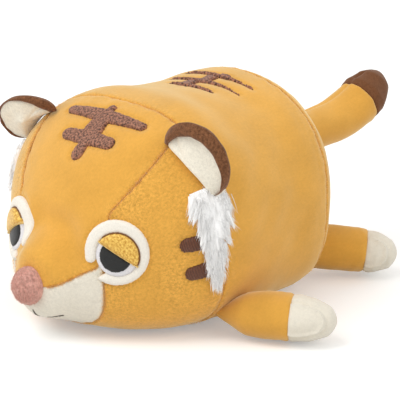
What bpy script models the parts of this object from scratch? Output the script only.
"""A small stuffed tiger that lies on its belly.

Metres, +Z up. The tiger faces -Y, its left side is +X, and the origin is the
middle of the flat of the belly, on the surface that the tiger lies on.
"""

import math

import bpy
import bmesh
import numpy as np
from mathutils import Matrix, Vector, geometry

# Driving dimensions

BODY_LENGTH = 0.143
BODY_WIDTH = 0.120
BODY_HEIGHT = 0.0945
BELLY_FLAT = 0.0005
FABRIC = 0.0015
GAP = 0.0003
FILL_GAP = 0.0007

NOSE_BULGE = 0.0084
NOSE_EDGE = 0.0012
NOSE_GAP_SHARE = 0.03
MOUTH_SHARE = 0.135
MOUTH_THREAD = 0.0011
MOUTH_STEM = 0.0022
MOUTH_REACH = 0.0105
MOUTH_DROP = 0.0032
STITCHING = 0.0007

EYE_Y_SHARE = -0.3986
EYE_HEIGHT_SHARE = 0.4317
EYE_RADIUS = 0.0088
PUPIL_RADIUS = 0.0066
FELT_RADIUS = 0.0136
FELT = 0.0010
LID_PADDING = 0.0015
LID_SLOPE = math.radians(-31)
LID_OPENING = 5
RIM_START = 185
RIM_END = -105
RIM_ACROSS_SHARE = -0.05
RIM_UP_SHARE = 0.09
PUPIL_ACROSS_SHARE = -0.07
PUPIL_UP_SHARE = -0.05

CHEEK_STRIPE_WIDTH = 0.0070
CHEEK_STRIPE_LENGTH = 0.0090
CHEEK_STRIPE_Y_SHARE = -0.2308
CHEEK_STRIPE_HEIGHT_SHARE = 0.4709
CHEEK_STRIPE_PITCH = 0.0122
CHEEK_STRIPE_STEP_SHARE = 0.014

BROW_MARK_Y_SHARE = -0.2657
BROW_BAR_LENGTH = 0.0420
BROW_BAR_WIDTH = 0.0054
BROW_SPINE_LENGTH = 0.0290
BROW_HIGH_BAR_SHARE = 0.26
BROW_LOW_BAR_SHARE = 0.64
BROW_LOW_DROP_SHARE = 0.24
BAR_TAPER_SHARE = 0.55
BACK_MARK_Y_SHARE = 0.2028
BACK_STRIPE_LENGTH = 0.0400
BACK_STRIPE_WIDTH = 0.0030
BACK_SPINE_LENGTH = 0.0175
BACK_SPINE_WIDTH_SHARE = 0.24
BACK_SHORT_STRIPE_SHARE = 0.65

EAR_TOP_Y_SHARE = -0.2203
EAR_TOP_HEIGHT_SHARE = 0.8730
EAR_LOW_Y_SHARE = -0.1713
EAR_LOW_HEIGHT_SHARE = 0.6667
EAR_REACH = 0.0212
EAR_SPREAD_SHARE = 0.55
EAR_BACK_DEPTH = 0.0040
EAR_FRONT_DEPTH = 0.0016
EAR_SEAT = 0.0007
EAR_CUP = 0.0030
EAR_RIM = 0.0026
EAR_PAD_SHARE = 0.80
EAR_PAD_GAP_SHARE = 0.03
EAR_THIN_SHARE = 0.40
EAR_ROOT_SHARE = 0.25

TUFT_Y_SHARE = -0.1832
TUFT_TOP_HEIGHT_SHARE = 0.6614
TUFT_LOW_HEIGHT_SHARE = 0.2116
TUFT_WIDTH = 0.0170
TUFT_DEPTH = 0.0055
TUFT_START_SHARE = 0.35
TUFT_TAPER_SHARE = 0.80
TUFT_END_SHARE = 0.18

LEG_WIDTH = 0.0215
LEG_THICKNESS = 0.0195
LEG_LENGTH = 0.0495
LEG_ROOT_RADIUS = 0.0010
LEG_BEND_SHARE = 0.25
LEG_FLAT = 0.0006
FLOOR_GAP = 0.0004
FRONT_LEG_Y_SHARE = -0.0839
FRONT_LEG_Z = 0.0095
FRONT_LEG_HEADING = math.radians(36)
HIND_LEG_Y_SHARE = 0.4420
HIND_LEG_Z = 0.0150
HIND_LEG_HEADING = math.radians(38)

TAIL_LENGTH = 0.0900
TAIL_RADIUS = 0.0098
TAIL_ROOT_HEIGHT_SHARE = 0.6243
TAIL_ROOT_RADIUS = 0.0060
TAIL_DROOP = math.radians(8)
TAIL_CURL = math.radians(46)

# Rings across the body, evenly counted from the tip of the muzzle to the middle of the rump

RING_Y_SHARES = (
    -0.517, -0.510, -0.490, -0.448, -0.389, -0.305, -0.200, -0.073,
    0.056, 0.182, 0.294, 0.378, 0.437, 0.472, 0.483,
)
RING_HALF_WIDTH_SHARES = (
    0.000, 0.058, 0.108, 0.180, 0.279, 0.391, 0.477, 0.504,
    0.488, 0.463, 0.454, 0.425, 0.350, 0.208, 0.000,
)
RING_TOP_SHARES = (
    0.259, 0.339, 0.418, 0.550, 0.693, 0.838, 0.952, 1.000,
    0.984, 0.979, 0.995, 0.984, 0.910, 0.720, 0.487,
)
RING_BOTTOM_SHARES = (
    0.259, 0.180, 0.132, 0.090, 0.053, 0.021, 0.005, 0.000,
    0.000, 0.000, 0.000, 0.016, 0.095, 0.265, 0.487,
)
RING_TOP_POWER_SHARES = (
    2.00, 2.00, 2.05, 2.25, 2.50, 2.60, 2.50, 2.40,
    2.30, 2.30, 2.30, 2.30, 2.20, 2.10, 2.00,
)
RING_BOTTOM_POWER_SHARES = (
    2.00, 2.00, 2.20, 2.50, 2.80, 3.20, 3.40, 3.40,
    3.40, 3.40, 3.40, 3.00, 2.50, 2.10, 2.00,
)
WIDEST_HEIGHT_SHARE = 0.46

# Seams, as shares of the way from muzzle to rump and as shares of a turn from the left flank

NOSE_SHARE = 0.082
CHIN_SHARE = 0.251
NECK_SHARE = 0.462
RUMP_SHARE = 0.766
BROW_SEAM_PLACE_SHARES = (0.000, 0.150, 0.240, 0.265, 0.285, 0.345, 0.420, 0.462)
BROW_SEAM_TURN_SHARES = (0.018, 0.018, 0.018, 0.070, 0.115, 0.132, 0.153, 0.160)
BELLY_SEAM_TURN_SHARE = -0.140

# Limbs, in shares of their length, half width and half thickness

LEG_PLACE_SHARES = (0.000, 0.010, 0.060, 0.180, 0.340, 0.520, 0.700, 0.860, 0.960, 1.000)
LEG_WIDTH_SHARES = (0.000, 0.300, 0.500, 0.720, 0.900, 0.980, 1.000, 0.900, 0.600, 0.000)
LEG_THICKNESS_SHARES = (0.000, 0.088, 0.150, 0.480, 0.840, 0.980, 1.000, 0.880, 0.580, 0.000)
TOE_CAP_SHARE = 0.63
TAIL_PLACE_SHARES = (0.000, 0.012, 0.050, 0.130, 0.280, 0.480, 0.680, 0.840, 0.950, 1.000)
TAIL_RADIUS_SHARES = (0.000, 0.340, 0.600, 0.880, 0.960, 1.000, 1.120, 1.160, 0.820, 0.000)
TAIL_TIP_SHARE = 0.78
TAIL_BEND_SHARE = 0.66

TOP = math.pi / 2
UNDER = -math.pi / 2
ROUND = 2 * math.pi
STEP_SHARE = 0.001
WELD = GAP / 200


def along(shares, place, through=False):
    """A smooth curve through evenly counted shares, which turns back at each end or runs straight through it."""
    before = 2 * shares[0] - shares[1] if through else shares[1]
    after = 2 * shares[-1] - shares[-2] if through else shares[-2]
    table = np.array([before, *shares, after])
    steps = np.clip(place, 0.0, 1.0) * (len(shares) - 1)
    first = np.minimum(steps.astype(int), len(shares) - 2)
    t = steps - first
    a, b, c, d = (table[first + k] for k in range(4))
    rest = (2 * a - 5 * b + 4 * c - d) * t**2 + (3 * b - a - 3 * c + d) * t**3
    return 0.5 * (2 * b + (c - a) * t + rest)


def body_surface(place, turn):
    """A rounded box section at each place along the body, with its own power above and below its widest line."""
    half_width = BODY_WIDTH * along(RING_HALF_WIDTH_SHARES, place, through=True)
    top = BODY_HEIGHT * along(RING_TOP_SHARES, place, through=True)
    bottom = BODY_HEIGHT * along(RING_BOTTOM_SHARES, place, through=True) - BELLY_FLAT
    middle = bottom + WIDEST_HEIGHT_SHARE * (top - bottom)
    side, rise = np.cos(turn), np.sin(turn)
    above = along(RING_TOP_POWER_SHARES, place)
    below = along(RING_BOTTOM_POWER_SHARES, place)
    power = np.where(rise > 0, above, below)
    half_height = np.where(rise > 0, top - middle, middle - bottom)
    x = half_width * np.sign(side) * np.abs(side) ** (2 / power)
    y = BODY_LENGTH * along(RING_Y_SHARES, place)
    z = middle + half_height * np.sign(rise) * np.abs(rise) ** (2 / power)
    return np.stack([x, y, z], axis=-1)


def unit(vectors):
    return vectors / np.maximum(np.linalg.norm(vectors, axis=-1, keepdims=True), WELD**2)


def outward(surface, place, turn):
    """The direction square to a surface, from the differences of near points on it."""
    place = np.clip(place, STEP_SHARE, 1 - STEP_SHARE)
    half = STEP_SHARE / 2
    by_place = surface(place + half, turn) - surface(place - half, turn)
    by_turn = surface(place, turn + half) - surface(place, turn - half)
    return unit(np.cross(by_place, by_turn))


def lifted(surface, place, turn, lift, floor=0.0):
    """A surface moved out by lift, and flat where it rests on its floor."""
    place, turn, lift = (np.asarray(value, float) for value in (place, turn, lift))
    place, turn, lift = np.broadcast_arrays(place, turn, lift)
    points = surface(place, turn) + outward(surface, place, turn) * lift[..., None]
    points[..., 2] = np.maximum(points[..., 2], floor + np.maximum(-lift, 0.0))
    return points


def hide(place, turn, lift=0.0):
    return lifted(body_surface, place, turn, lift)


def place_of(y_share):
    """How far along the body a ring lies at y, given as a share of the body's length."""
    places = np.linspace(0.0, 1.0, 1401)
    return float(np.interp(y_share, along(RING_Y_SHARES, places), places))


def flank_spot(y_share, z):
    """The place and the turn of a point of the left flank."""
    place = place_of(y_share)
    turns = np.linspace(UNDER, TOP, 1401)
    heights = body_surface(np.full(turns.shape, place), turns)[:, 2]
    return place, float(np.interp(z, heights, turns))


def brow_seam(place):
    """The turn of the seam between brow and left cheek."""
    return ROUND * np.interp(place, BROW_SEAM_PLACE_SHARES, BROW_SEAM_TURN_SHARES)


def turn_for(place, turn, distance):
    """The turn that moves a point of the hide by distance round its ring."""
    chord = body_surface(place, turn + STEP_SHARE) - body_surface(place, turn - STEP_SHARE)
    return distance * 2 * STEP_SHARE / np.linalg.norm(chord, axis=-1)


def place_for(place, distance):
    """The share that moves a ring by distance along the middle of the back."""
    near = np.array([place - STEP_SHARE, place + STEP_SHARE])
    ends = body_surface(near, np.full(2, TOP))
    return float(distance * 2 * STEP_SHARE / np.linalg.norm(ends[1] - ends[0]))


def linear(level):
    share = level / 255
    return share / 12.92 if share <= 0.04045 else ((share + 0.055) / 1.055) ** 2.4


def cloth(name, colour, roughness):
    """A material of one colour, given as it looks on a screen."""
    material = bpy.data.materials.new(name)
    material.use_nodes = True
    shader = material.node_tree.nodes["Principled BSDF"]
    shader.inputs["Base Color"].default_value = (*(linear(level) for level in colour), 1.0)
    shader.inputs["Roughness"].default_value = roughness
    shader.inputs["Metallic"].default_value = 0.0
    return material


def add_body(name, points, faces, material, pivot=None):
    """Welds a body's mesh, turns its faces out and hangs it on the empty of its joint."""
    sheet = bmesh.new()
    vertices = [sheet.verts.new(point) for point in points]
    for corners in faces:
        sheet.faces.new([vertices[corner] for corner in corners])
    bmesh.ops.remove_doubles(sheet, verts=sheet.verts, dist=WELD)
    bmesh.ops.triangulate(sheet, faces=sheet.faces)
    bmesh.ops.recalc_face_normals(sheet, faces=sheet.faces)
    if sheet.calc_volume(signed=True) < 0:
        bmesh.ops.reverse_faces(sheet, faces=sheet.faces)
    mesh = bpy.data.meshes.new(name)
    sheet.to_mesh(mesh)
    sheet.free()
    mesh.shade_smooth()
    mesh.set_sharp_from_angle(angle=math.radians(50))
    mesh.materials.append(material)
    body = bpy.data.objects.new(name, mesh)
    bpy.context.scene.collection.objects.link(body)
    if pivot is not None:
        mesh.transform(Matrix.Translation(-pivot.location))
        body.parent = pivot
    return body


def add_pivot(name, point):
    """The empty on a joint's axis, which the pieces that move there hang on."""
    pivot = bpy.data.objects.new(name, None)
    pivot.location = point
    pivot.empty_display_size = LEG_WIDTH
    bpy.context.scene.collection.objects.link(pivot)
    return pivot


def grid_faces(rows, columns, first):
    """The four-sided faces of a grid of points, counted from its first point."""
    row, column = np.meshgrid(np.arange(rows - 1), np.arange(columns - 1), indexing="ij")
    corner = first + row * columns + column
    faces = np.stack([corner, corner + 1, corner + columns + 1, corner + columns], axis=-1)
    return faces.reshape(-1, 4)


def block(outer, inner, closed_round):
    """The points and faces of a body between two like grids, walled at its edges unless its columns close."""
    rows, columns = outer.shape[:2]
    count = rows * columns
    points = np.concatenate([outer.reshape(-1, 3), inner.reshape(-1, 3)])
    faces = [grid_faces(rows, columns, 0), grid_faces(rows, columns, count)[:, ::-1]]
    index = np.arange(count).reshape(rows, columns)
    edges = [index[0, ::-1], index[-1]]
    if not closed_round:
        edges += [index[:, 0], index[::-1, -1]]
    for edge in edges:
        faces.append(np.stack([edge[1:], edge[:-1], edge[:-1] + count, edge[1:] + count], axis=-1))
    return points, np.concatenate(faces).tolist()


def gathered(grid):
    """The grid with each row that closes a tip drawn into one point."""
    middle = grid.mean(axis=1, keepdims=True)
    reach = np.linalg.norm(grid - middle, axis=-1, keepdims=True).max(axis=1, keepdims=True)
    return np.where(reach < GAP, middle, grid)


def mirror(points, side):
    """Points for the left side (1) or their mirror image for the right side (-1)."""
    return points * np.array([side, 1.0, 1.0])


def panel(name, material, surface, places, turns, low, high, closed_round=False, side=1, pivot=None, floor=0.0):
    """A piece of fabric or stitching that lies on a surface between two lifts."""
    places, turns = np.broadcast_arrays(places, turns)
    outer = mirror(gathered(lifted(surface, places, turns, high, floor)), side)
    inner = mirror(gathered(lifted(surface, places, turns, low, floor)), side)
    points, faces = block(outer, inner, closed_round)
    return add_body(name, points, faces, material, pivot)


def filling(name, material, surface, places, lift, turns_count, side=1, pivot=None, floor=0.0):
    """A solid inside a surface, closed flat across its open ends."""
    turns = np.linspace(0.0, ROUND, turns_count + 1)
    places = np.asarray(places)[:, None]
    outer = gathered(lifted(surface, *np.broadcast_arrays(places, turns[None, :]), lift, floor))
    middle = np.broadcast_to(outer[:, :-1].mean(axis=1, keepdims=True), outer.shape)
    points, faces = block(mirror(outer, side), mirror(middle, side), closed_round=True)
    return add_body(name, points, faces, material, pivot)


def spread(start, end, count):
    """Evenly spaced rows of a grid."""
    return np.linspace(start, end, count)[:, None]


def fan(start, end, count):
    """Evenly spaced columns between two edges, which may bend along the rows."""
    share = np.linspace(0.0, 1.0, count)[None, :]
    return start + (end - start) * share


class Pattern:
    """A flat pattern piece's frame against the hide: where it touches, and its across, up and out directions."""

    def __init__(self, place, turn, roll=0.0, level=False):
        self.place, self.turn = place, turn
        self.origin = hide(place, turn)
        self.out = outward(body_surface, np.asarray(place), np.asarray(turn))
        sideways = np.cross([0.0, 0.0, 1.0], self.out) if level else np.array([1.0, 0.0, 0.0])
        across = unit(sideways - self.out * (sideways @ self.out))
        up = np.cross(self.out, across)
        self.across = across * math.cos(roll) + up * math.sin(roll)
        self.up = up * math.cos(roll) - across * math.sin(roll)

    def seat(self, flat):
        """The places and turns of the hide straight behind flat points, found by Newton's steps."""
        place = np.full(len(flat), float(self.place))
        turn = np.full(len(flat), float(self.turn))
        axes = np.stack([self.across, self.up])
        for _ in range(8):
            here = (body_surface(place, turn) - self.origin) @ axes.T
            by_place = (body_surface(place + STEP_SHARE, turn) - self.origin) @ axes.T - here
            by_turn = (body_surface(place, turn + STEP_SHARE) - self.origin) @ axes.T - here
            miss = flat - here
            area = by_place[:, 0] * by_turn[:, 1] - by_place[:, 1] * by_turn[:, 0]
            place = place + STEP_SHARE * (miss[:, 0] * by_turn[:, 1] - miss[:, 1] * by_turn[:, 0]) / area
            turn = turn + STEP_SHARE * (by_place[:, 0] * miss[:, 1] - by_place[:, 1] * miss[:, 0]) / area
        return place, turn


def divided(outline, spacing):
    """The outline with points added along its longer edges, so that it can bend with the hide."""
    points = []
    for start, end in zip(outline, np.roll(outline, -1, axis=0)):
        count = math.ceil(np.linalg.norm(end - start) / spacing)
        points.append(start + (end - start) * np.linspace(0.0, 1.0, max(count, 1), endpoint=False)[:, None])
    return np.concatenate(points)


def stamp(name, material, pattern, outlines, spacing, low, high, side=1, pivot=None):
    """Felt or stitching cut to the union of flat outlines and laid on the hide."""
    outlines = [divided(outline, spacing) for outline in outlines]
    corners = np.concatenate(outlines)
    lowest, highest = corners.min(axis=0), corners.max(axis=0)
    steps = [np.arange(lowest[k] + spacing / 2, highest[k], spacing) for k in (0, 1)]
    inside = np.stack(np.meshgrid(*steps), axis=-1).reshape(-1, 2)
    near = np.linalg.norm(inside[:, None] - corners[None], axis=-1).min(axis=1)
    inside = inside[near > spacing / 3]
    flat = [Vector(point) for point in np.concatenate([corners, inside])]
    loops, first = [], 0
    for outline in outlines:
        loops.append(list(range(first, first + len(outline))))
        first += len(outline)
    flat, _, faces, *_ = geometry.delaunay_2d_cdt(flat, [], loops, 1, WELD)
    used = sorted({corner for face in faces for corner in face})
    number = {corner: k for k, corner in enumerate(used)}
    faces = [[number[corner] for corner in face] for face in faces]
    places, turns = pattern.seat(np.array([flat[corner] for corner in used]))
    count = len(used)
    sheets = [mirror(hide(places, turns, lift), side) for lift in (high, low)]
    rims = {}
    for face in faces:
        for a, b in zip(face, face[1:] + face[:1]):
            rims[(a, b)] = rims.get((a, b), 0) + 1
    walls = [[b, a, a + count, b + count] for (a, b) in rims if (b, a) not in rims]
    under = [[corner + count for corner in reversed(face)] for face in faces]
    return add_body(name, np.concatenate(sheets), faces + under + walls, material, pivot)


def arc(centre, radius, start, end, count):
    """Points on a flat arc, with its angles in degrees."""
    angles = np.radians(np.linspace(start, end, count))
    return np.asarray(centre) + radius * np.stack([np.cos(angles), np.sin(angles)], axis=-1)


def bar(start, end, start_width, end_width, count=5):
    """The outline of a bar of stitching with round ends."""
    start, end = np.asarray(start), np.asarray(end)
    heading = math.degrees(math.atan2(*(end - start)[::-1]))
    far = arc(end, end_width / 2, heading - 90, heading + 90, count)
    near = arc(start, start_width / 2, heading + 90, heading + 270, count)
    return np.concatenate([far, near])


class Limb:
    """A stuffed tube along a bent line, which starts square to the hide and narrows to its sewn root."""

    def __init__(self, start, first, last, bend_share, place_shares, width_shares, thickness_shares, size):
        self.start, self.size, self.bend = start, size, bend_share
        self.corner = start + first * bend_share
        self.end = self.corner + last * (1 - bend_share)
        self.place_shares, self.width_shares, self.thickness_shares = place_shares, width_shares, thickness_shares

    def __call__(self, place, turn):
        length_share = along(self.place_shares, place)[..., None]
        share = (np.sqrt(self.bend**2 + (1 - 2 * self.bend) * length_share) - self.bend) / (1 - 2 * self.bend)
        centre = (1 - share) ** 2 * self.start + 2 * share * (1 - share) * self.corner + share**2 * self.end
        heading = unit((1 - share) * (self.corner - self.start) + share * (self.end - self.corner))
        across = unit(np.cross(heading, [0.0, 0.0, 1.0]))
        up = np.cross(across, heading)
        width = self.size[0] / 2 * along(self.width_shares, place, through=True)
        thickness = self.size[1] / 2 * along(self.thickness_shares, place, through=True)
        return centre + across * (width * np.cos(turn))[..., None] + up * (thickness * np.sin(turn))[..., None]


def level_heading(angle):
    """A level direction, turned from the tiger's left towards its tail."""
    return np.array([math.cos(angle), math.sin(angle), 0.0])


def leg_shape(y_share, z, heading, length):
    """A left leg from its sewn root on the hide down to where it lies, and the point that it swings about."""
    place, turn = flank_spot(y_share, z)
    out = outward(body_surface, np.asarray(place), np.asarray(turn))
    pivot = hide(place, turn) + out * (LEG_ROOT_RADIUS + GAP)
    square = unit(out * np.array([1.0, 1.0, 0.0]))
    start = pivot - square * LEG_ROOT_RADIUS
    bend = LEG_BEND_SHARE
    lying = LEG_THICKNESS / 2 + FLOOR_GAP - LEG_FLAT
    fall = np.array([0.0, 0.0, (lying - start[2]) / (1 - bend / 2)])
    first = square * length + fall / 2
    last = level_heading(heading) * length + fall
    size = (LEG_WIDTH, LEG_THICKNESS)
    shape = Limb(start, first, last, bend, LEG_PLACE_SHARES, LEG_WIDTH_SHARES, LEG_THICKNESS_SHARES, size)
    return shape, pivot


def tail_shape():
    """The tail from the rump, level at first and curling up to its tip, and the point that it swings about."""
    place = float(np.interp(-TAIL_ROOT_HEIGHT_SHARE, -np.array(RING_TOP_SHARES[-4:]), np.linspace(11, 14, 4)))
    place = place / (len(RING_TOP_SHARES) - 1)
    out = outward(body_surface, np.asarray(place), np.asarray(TOP))
    pivot = hide(place, TOP) + out * (TAIL_ROOT_RADIUS + GAP)
    pivot[0] = 0.0
    start = pivot - np.array([0.0, TAIL_ROOT_RADIUS, 0.0])
    first = TAIL_LENGTH * np.array([0.0, math.cos(TAIL_DROOP), -math.sin(TAIL_DROOP)])
    last = TAIL_LENGTH * np.array([0.0, math.cos(TAIL_CURL), math.sin(TAIL_CURL)])
    size = (2 * TAIL_RADIUS, 2 * TAIL_RADIUS)
    shape = Limb(start, first, last, TAIL_BEND_SHARE, TAIL_PLACE_SHARES, TAIL_RADIUS_SHARES, TAIL_RADIUS_SHARES, size)
    return shape, pivot


class Ear:
    """The left ear: half of a disc that stands on the hide, cupped forward, thin where it is sewn on."""

    def __init__(self):
        top_place, top_turn = flank_spot(EAR_TOP_Y_SHARE, BODY_HEIGHT * EAR_TOP_HEIGHT_SHARE)
        low_place, low_turn = flank_spot(EAR_LOW_Y_SHARE, BODY_HEIGHT * EAR_LOW_HEIGHT_SHARE)
        self.places = (top_place + low_place) / 2, (low_place - top_place) / 2
        self.turns = (top_turn + low_turn) / 2, (low_turn - top_turn) / 2
        top, low = hide(top_place, top_turn), hide(low_place, low_turn)
        middle = hide(self.places[0], self.turns[0])
        chord = unit(low - top)
        rise = middle - (top + low) / 2
        self.reach = unit(rise - chord * (rise @ chord))
        self.forward = np.cross(chord, self.reach)
        self.axis = middle + self.reach * EAR_SEAT

    def __call__(self, radius, angle, depth):
        """Points by their share of the disc's radius, their angle from the top of the base, and their depth."""
        span = -radius * np.cos(angle) * (1 + EAR_SPREAD_SHARE * radius * np.sin(angle))
        root = hide(self.places[0] + self.places[1] * span, self.turns[0] + self.turns[1] * span)
        height = EAR_SEAT + EAR_REACH * radius * np.sin(angle)
        cup = EAR_CUP * radius**2 * np.sin(angle) + depth
        return root + self.reach * height[..., None] + self.forward * cup[..., None]

    def thinned(self, radius, angle, depth):
        """The depth, thinned towards the line that is sewn on."""
        share = np.clip(radius * np.sin(angle) / EAR_THIN_SHARE, 0.0, 1.0)
        return depth * (EAR_ROOT_SHARE + (1 - EAR_ROOT_SHARE) * share * (2 - share))


# The scene, cleared, and its materials

for leftover in list(bpy.data.objects):
    bpy.data.objects.remove(leftover)

HIDE = cloth("tan_plush", (214, 162, 80), 0.95)
CREAM = cloth("cream_plush", (229, 223, 206), 0.95)
BROWN = cloth("brown_plush", (116, 74, 52), 0.95)
PINK = cloth("pink_plush", (199, 157, 143), 0.95)
WHITE_FUR = cloth("white_long_pile", (236, 233, 226), 0.95)
WHITE_FELT = cloth("white_felt", (238, 228, 204), 0.95)
WHITE_SATIN = cloth("white_satin_stitch", (240, 236, 224), 0.55)
BLACK_SATIN = cloth("black_satin_stitch", (29, 30, 28), 0.55)
GOLD_SATIN = cloth("gold_satin_stitch", (219, 172, 80), 0.55)
BROWN_SATIN = cloth("brown_satin_stitch", (89, 50, 26), 0.55)
MARK_SATIN = cloth("glittering_brown_stitch", (128, 84, 60), 0.45)
STUFFING = cloth("polyester_fibre", (242, 242, 240), 0.95)

# Head: skin panels that meet at the brow, cheek, chin and neck seams, round one filling

SEAM_SHARE = place_for(NECK_SHARE, GAP / 2)
STITCH_LOW = GAP
STITCH_HIGH = GAP + STITCHING
SECOND_LOW = STITCH_HIGH + GAP
SECOND_HIGH = SECOND_LOW + STITCHING


def seam_turn(place, turn, side=1):
    """The turn of a panel's edge, half a gap to one side of its seam."""
    return turn + side * turn_for(place, turn, GAP / 2)


muzzle_places = spread(NOSE_SHARE, CHIN_SHARE - SEAM_SHARE, 6)
head_places = spread(CHIN_SHARE + SEAM_SHARE, NECK_SHARE - SEAM_SHARE, 10)
brow_places = np.concatenate([muzzle_places, head_places])
brow_edge = seam_turn(brow_places, brow_seam(brow_places))
panel("brow_panel", HIDE, body_surface, brow_places, fan(brow_edge, math.pi - brow_edge, 15), -FABRIC, 0.0)
cheek_edge = seam_turn(head_places, brow_seam(head_places), -1)
chin_edge = seam_turn(head_places, np.full(head_places.shape, UNDER))
for side, word in ((1, "left"), (-1, "right")):
    panel(
        f"cheek_panel_{word}", HIDE, body_surface, head_places,
        fan(chin_edge, cheek_edge, 12), -FABRIC, 0.0, side=side,
    )

muzzle_edge = seam_turn(muzzle_places, brow_seam(muzzle_places), -1)
muzzle_turns = fan(-math.pi - muzzle_edge, muzzle_edge, 17)
panel("muzzle_panel", CREAM, body_surface, muzzle_places, muzzle_turns, -FABRIC, 0.0)
nose_places = NOSE_SHARE * (1 - NOSE_GAP_SHARE) * np.sin(spread(0.0, TOP, 6))
nose_lift = NOSE_EDGE + (NOSE_BULGE - NOSE_EDGE) * np.sqrt(1 - (nose_places / NOSE_SHARE) ** 2)
nose_turns = fan(np.zeros(nose_places.shape), np.full(nose_places.shape, ROUND), 25)
panel(
    "nose", PINK, body_surface, nose_places, nose_turns,
    -FABRIC, np.broadcast_to(nose_lift, nose_turns.shape), closed_round=True,
)
fill_lift = -(FABRIC + FILL_GAP)
filling(
    "head_fill", STUFFING, body_surface,
    np.concatenate([nose_places[:-1:2, 0], np.linspace(NOSE_SHARE, NECK_SHARE - SEAM_SHARE, 11)]), fill_lift, 24,
)

# Mouth: one thread below the nose that parts to both sides

mouth = Pattern(MOUTH_SHARE, UNDER)
mouth_stem = bar((0.0, MOUTH_STEM), (0.0, 0.0), MOUTH_THREAD, MOUTH_THREAD, 4)
mouth_sides = [
    bar((0.0, 0.0), (side * MOUTH_REACH, -MOUTH_DROP), MOUTH_THREAD, MOUTH_THREAD, 4)
    for side in (1, -1)
]
stamp("mouth_thread", BROWN_SATIN, mouth, [mouth_stem, *mouth_sides], MOUTH_REACH / 4, STITCH_LOW, STITCH_HIGH)

# Brow mark: two bars across the forehead on a spine, the upper bar wider

brow = Pattern(place_of(BROW_MARK_Y_SHARE), TOP)
brow_mark = [
    bar((side * BROW_BAR_LENGTH / 2 * reach, rise), (0.0, rise), BROW_BAR_WIDTH * thin, BROW_BAR_WIDTH, 5)
    for side in (1, -1)
    for reach, rise, thin in (
        (1.0, BROW_SPINE_LENGTH * BROW_HIGH_BAR_SHARE, BAR_TAPER_SHARE),
        (BROW_LOW_BAR_SHARE, -BROW_SPINE_LENGTH * BROW_LOW_DROP_SHARE, BAR_TAPER_SHARE),
    )
]
brow_mark.append(bar(
    (0.0, BROW_SPINE_LENGTH / 2), (0.0, -BROW_SPINE_LENGTH / 2),
    BROW_BAR_WIDTH, BROW_BAR_WIDTH * BAR_TAPER_SHARE, 5,
))
stamp("forehead_mark", MARK_SATIN, brow, brow_mark, BROW_BAR_WIDTH, STITCH_LOW, STITCH_HIGH)

# Cheek stripes: two short bars on each flank of the head, which run back under the tuft

for side, word in ((1, "left"), (-1, "right")):
    for row, level_word in enumerate(("upper", "lower")):
        height = BODY_HEIGHT * CHEEK_STRIPE_HEIGHT_SHARE - row * CHEEK_STRIPE_PITCH
        along_flank = CHEEK_STRIPE_Y_SHARE + row * CHEEK_STRIPE_STEP_SHARE
        stripe = Pattern(*flank_spot(along_flank, height), level=True)
        half = CHEEK_STRIPE_LENGTH / 2
        outline = bar((-half, 0.0), (half, 0.0), CHEEK_STRIPE_WIDTH, CHEEK_STRIPE_WIDTH, 6)
        stamp(
            f"cheek_stripe_{level_word}_{word}", BROWN_SATIN, stripe, [outline],
            CHEEK_STRIPE_WIDTH / 2, STITCH_LOW, STITCH_HIGH, side=side,
        )

# Eyes: a felt rim round a stitched white disc, with a pupil and a padded lid on the disc

eye = Pattern(*flank_spot(EYE_Y_SHARE, BODY_HEIGHT * EYE_HEIGHT_SHARE), level=True)
lid_slope = math.degrees(LID_SLOPE)
lid_start, lid_end = 180 + lid_slope - LID_OPENING, lid_slope + LID_OPENING
disc = arc((0.0, 0.0), EYE_RADIUS, 0, 360, 25)[:-1]
rim_centre = np.array([EYE_RADIUS * RIM_ACROSS_SHARE, EYE_RADIUS * RIM_UP_SHARE])
rim = np.concatenate([
    arc(rim_centre, FELT_RADIUS, RIM_START, RIM_END, 19),
    arc((0.0, 0.0), EYE_RADIUS + GAP, RIM_END, RIM_START, 19),
])
lid = arc((0.0, 0.0), EYE_RADIUS, lid_start, lid_end, 13)
pupil_centre = np.array([EYE_RADIUS * PUPIL_ACROSS_SHARE, EYE_RADIUS * PUPIL_UP_SHARE])
circle = arc(pupil_centre, PUPIL_RADIUS, 0, 360, 33)[:-1]
edge = lid[-1] - lid[0]
edge = edge / np.linalg.norm(edge)
below = np.array([edge[1], -edge[0]])
depths = (circle - lid[0]) @ below
edge_miss = GAP * 2 - depths
pupil = np.where(edge_miss[:, None] > 0, circle + below * edge_miss[:, None], circle)
for side, word in ((1, "left"), (-1, "right")):
    stamp(f"eye_rim_{word}", WHITE_FELT, eye, [rim], FELT_RADIUS, STITCH_LOW, GAP + FELT, side=side)
    stamp(f"eye_white_{word}", WHITE_SATIN, eye, [disc], EYE_RADIUS / 2, STITCH_LOW, STITCH_HIGH, side=side)
    stamp(f"pupil_{word}", BLACK_SATIN, eye, [pupil], PUPIL_RADIUS / 2, SECOND_LOW, SECOND_HIGH, side=side)
    stamp(f"eyelid_{word}", GOLD_SATIN, eye, [lid], EYE_RADIUS / 2, SECOND_LOW, SECOND_LOW + LID_PADDING, side=side)

# Tufts: long pile below each ear, widest at the top

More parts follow.
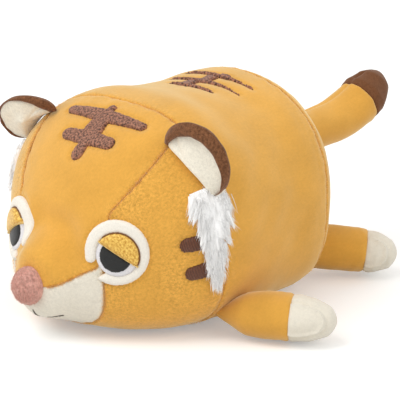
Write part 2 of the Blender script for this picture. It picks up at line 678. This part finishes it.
tuft_rows = spread(0.0, 1.0, 8)
tuft_columns = np.linspace(-1.0, 1.0, 7)[None, :]
tuft_fall = (TUFT_LOW_HEIGHT_SHARE - TUFT_TOP_HEIGHT_SHARE) * tuft_rows
tuft_heights = BODY_HEIGHT * (TUFT_TOP_HEIGHT_SHARE + tuft_fall)
tuft_spots = np.array([flank_spot(TUFT_Y_SHARE, height) for height in tuft_heights[:, 0]])
tuft_shape = np.sin(math.pi * (TUFT_START_SHARE + (1 - TUFT_START_SHARE) * tuft_rows**TUFT_TAPER_SHARE))
tuft_half = place_for(place_of(TUFT_Y_SHARE), TUFT_WIDTH / 2)
tuft_half = tuft_half * (TUFT_END_SHARE + (1 - TUFT_END_SHARE) * tuft_shape)
tuft_places = tuft_spots[:, :1] + tuft_half * tuft_columns
tuft_turns = np.broadcast_to(tuft_spots[:, 1:], tuft_places.shape)
tuft_low = SECOND_LOW
tuft_high = tuft_low + FELT + (TUFT_DEPTH - FELT) * tuft_shape * (1 - tuft_columns**2)
for side, word in ((1, "left"), (-1, "right")):
    panel(f"tuft_{word}", WHITE_FUR, body_surface, tuft_places, tuft_turns, tuft_low, tuft_high, side=side)

# Ears: each a puffed brown back with a rolled rim and a cream front inside the rim, on one hinge

ear = Ear()
ear_angles = np.linspace(0.0, math.pi, 13)[None, :]
rim_radii = EAR_PAD_SHARE + (1 - EAR_PAD_SHARE) * np.sin(spread(0.0, TOP, 6))
back_radii = np.concatenate([spread(0.0, EAR_PAD_SHARE, 5)[:-1], rim_radii])
rim_share = np.clip((back_radii - EAR_PAD_SHARE) / (1 - EAR_PAD_SHARE), 0.0, 1.0)
rim_depth = EAR_RIM * np.sin(math.pi * rim_share)
back_depth = -EAR_BACK_DEPTH * np.sqrt(1 - back_radii**4)
pad_radii = EAR_PAD_SHARE * (1 - EAR_PAD_GAP_SHARE) * np.sin(spread(0.0, TOP, 6))
pad_share = (pad_radii / pad_radii[-1]) ** 4
pad_depth = GAP + EAR_FRONT_DEPTH * (EAR_ROOT_SHARE + (1 - EAR_ROOT_SHARE) * np.sqrt(1 - pad_share))
for side, word in ((1, "left"), (-1, "right")):
    hinge = add_pivot(f"ear_hinge_{word}", mirror(ear.axis, side))
    for name, material, radii, front, rear in (
        (f"ear_back_{word}", BROWN, back_radii, rim_depth, back_depth),
        (f"ear_front_{word}", CREAM, pad_radii, pad_depth, np.full(pad_radii.shape, GAP)),
    ):
        radii, angles = np.broadcast_arrays(radii, ear_angles)
        seated = 1 if rear is back_depth else 0
        outer = ear(radii, angles, ear.thinned(radii, angles, front - GAP * (1 - seated)) + GAP * (1 - seated))
        inner = ear(radii, angles, ear.thinned(radii, angles, rear) if seated else rear)
        points, faces = block(mirror(outer, side), mirror(inner, side), closed_round=False)
        add_body(name, points, faces, material, hinge)

# Trunk: a back panel and a belly panel from neck seam to rump seam, a rump panel, and one filling

trunk_places = spread(NECK_SHARE + SEAM_SHARE, RUMP_SHARE - SEAM_SHARE, 11)
belly_turn = np.full(trunk_places.shape, ROUND * BELLY_SEAM_TURN_SHARE)
back_edge = seam_turn(trunk_places, belly_turn)
belly_edge = seam_turn(trunk_places, belly_turn, -1)
panel("back_panel", HIDE, body_surface, trunk_places, fan(back_edge, math.pi - back_edge, 25), -FABRIC, 0.0)
panel("belly_panel", HIDE, body_surface, trunk_places, fan(-math.pi - belly_edge, belly_edge, 15), -FABRIC, 0.0)
rump_places = RUMP_SHARE + SEAM_SHARE + (1 - RUMP_SHARE - SEAM_SHARE) * np.sin(spread(0.0, TOP, 8))
rump_turns = fan(np.zeros(rump_places.shape), np.full(rump_places.shape, ROUND), 25)
panel("rump_panel", HIDE, body_surface, rump_places, rump_turns, -FABRIC, 0.0, closed_round=True)
filling(
    "body_fill", STUFFING, body_surface,
    np.linspace(NECK_SHARE + SEAM_SHARE, 1.0, 14), fill_lift, 24,
)

# Back mark: three thin stripes across the back, joined by a broad spine

back = Pattern(place_of(BACK_MARK_Y_SHARE), TOP)
back_mark = [
    bar((0.0, rise * BACK_SPINE_LENGTH / 2), (side * BACK_STRIPE_LENGTH / 2 * reach, rise * BACK_SPINE_LENGTH / 2),
        BACK_STRIPE_WIDTH, BACK_STRIPE_WIDTH * BAR_TAPER_SHARE, 4)
    for side in (1, -1)
    for rise, reach in ((-1, BACK_SHORT_STRIPE_SHARE), (0, 1.0), (1, 1.0))
]
spine_width = BACK_STRIPE_LENGTH * BACK_SPINE_WIDTH_SHARE
back_mark.append(bar(
    (0.0, (BACK_SPINE_LENGTH - spine_width) / 2), (0.0, (spine_width - BACK_SPINE_LENGTH) / 2),
    spine_width, spine_width, 6,
))
stamp("back_mark", MARK_SATIN, back, back_mark, BACK_STRIPE_WIDTH * 1.5, STITCH_LOW, STITCH_HIGH)


def limb_pieces(names, shape, hinge, side, tip, tip_share, turns_count, floor):
    """The sleeve, the end piece and the filling of a limb, all on its hinge."""
    seam = float(np.interp(tip_share, shape.place_shares, np.linspace(0, 1, len(shape.place_shares))))
    step = GAP / 2 / float(np.linalg.norm(shape.end - shape.start))
    turns = np.linspace(0.0, ROUND, turns_count + 1)[None, :]
    sleeve_places = np.concatenate([np.zeros((1, 1)), seam * np.sin(spread(0.0, TOP, 7))[1:]]) - step
    sleeve_places = np.clip(sleeve_places, 0.0, 1.0)
    tip_places = seam + step + (1 - seam - step) * np.sin(spread(0.0, TOP, 6))
    panel(
        names[0], HIDE, shape, *np.broadcast_arrays(sleeve_places, turns),
        -FABRIC, 0.0, closed_round=True, side=side, pivot=hinge, floor=floor,
    )
    panel(
        names[1], tip, shape, *np.broadcast_arrays(tip_places, turns),
        -FABRIC, 0.0, closed_round=True, side=side, pivot=hinge, floor=floor,
    )
    filling(
        names[2], STUFFING, shape, np.concatenate([sleeve_places[1:, 0], tip_places[:, 0]]),
        fill_lift, turns_count, side=side, pivot=hinge, floor=floor,
    )


# Legs: each a tan sleeve with a cream toe cap on its filling, on one hinge along its root

LEGS = (
    ("front", FRONT_LEG_Y_SHARE, FRONT_LEG_Z, FRONT_LEG_HEADING),
    ("hind", HIND_LEG_Y_SHARE, HIND_LEG_Z, HIND_LEG_HEADING),
)
for place_word, y_share, z, heading in LEGS:
    shape, pivot_point = leg_shape(y_share, z, heading, LEG_LENGTH)
    for side, word in ((1, "left"), (-1, "right")):
        leg = f"{place_word}_leg_{word}"
        hinge = add_pivot(f"{leg}_hinge", mirror(pivot_point, side))
        names = (f"{leg}_sleeve", f"{leg}_toe_cap", f"{leg}_fill")
        limb_pieces(names, shape, hinge, side, CREAM, TOE_CAP_SHARE, 16, FLOOR_GAP)

# Tail: a tan sleeve with a brown tip on its filling, on one hinge at the rump

shape, pivot_point = tail_shape()
hinge = add_pivot("tail_hinge", pivot_point)
limb_pieces(("tail_sleeve", "tail_tip", "tail_fill"), shape, hinge, 1, BROWN, TAIL_TIP_SHARE, 16, 0.0)
